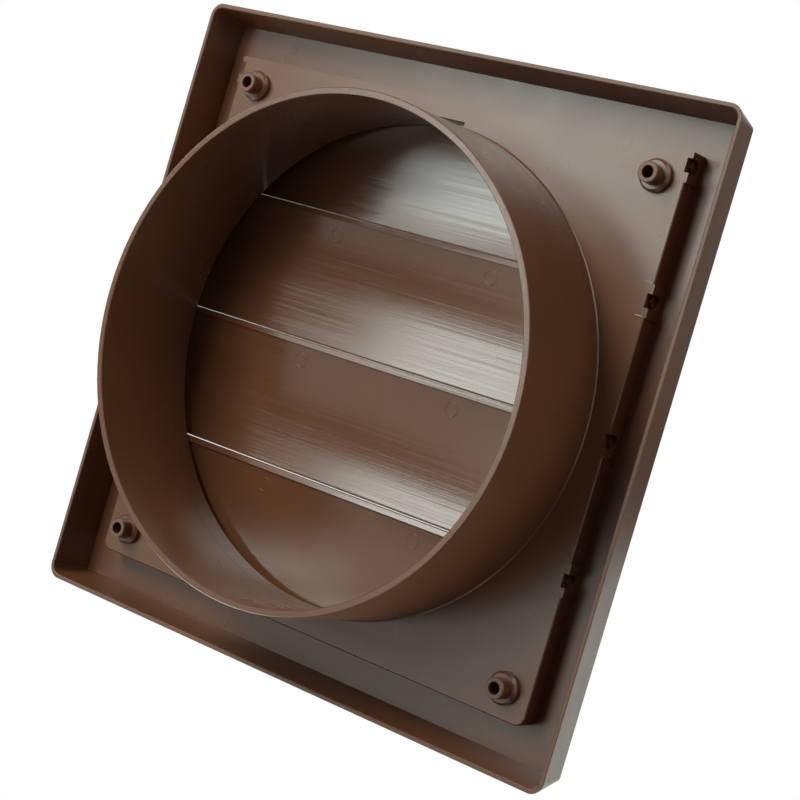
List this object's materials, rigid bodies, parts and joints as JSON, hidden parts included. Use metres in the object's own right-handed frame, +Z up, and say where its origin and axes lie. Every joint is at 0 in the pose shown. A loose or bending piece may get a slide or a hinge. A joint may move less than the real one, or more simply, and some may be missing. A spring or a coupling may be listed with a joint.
{
  "type": "louvred wall vent",
  "caption": "Square plastic wall vent with a round duct spigot at the back and gravity flaps in front that open outwards with the air and fall shut.",
  "frame": {"origin": "on the spigot's axis, in the wall plane: the middle of the four screw holes, where the rim and the screw bosses stand on the wall", "axes": "+Y along the spigot into the wall, +Z up as installed, +X along the flap pivots, to the right seen from outdoors"},
  "size_m": [0.19, 0.0461, 0.19],
  "materials": {
    "body_plastic": "satin moulded plastic, dark brown",
    "flap_plastic": "satin moulded plastic, dark brown, with fine lengthwise streaks"
  },
  "bodies": {
    "body": {"body": "body_plastic"},
    "flap_1": {"flap_1": "flap_plastic"},
    "flap_2": {"flap_2": "flap_plastic"},
    "flap_3": {"flap_3": "flap_plastic"},
    "flap_4": {"flap_4": "flap_plastic"}
  },
  "joints": [
    {"name": "flap_1_swing", "type": "hinge", "parent": "body", "child": "flap_1", "pos_m": [0, -0.0088, 0.0772], "axis": [-1, 0, 0], "range_deg": [0, 75]},
    {"name": "flap_2_swing", "type": "hinge", "parent": "body", "child": "flap_2", "pos_m": [0, -0.0088, 0.0393], "axis": [-1, 0, 0], "range_deg": [0, 75]},
    {"name": "flap_3_swing", "type": "hinge", "parent": "body", "child": "flap_3", "pos_m": [0, -0.0088, 0], "axis": [-1, 0, 0], "range_deg": [0, 75]},
    {"name": "flap_4_swing", "type": "hinge", "parent": "body", "child": "flap_4", "pos_m": [0, -0.0088, -0.0393], "axis": [-1, 0, 0], "range_deg": [0, 75]}
  ]
}
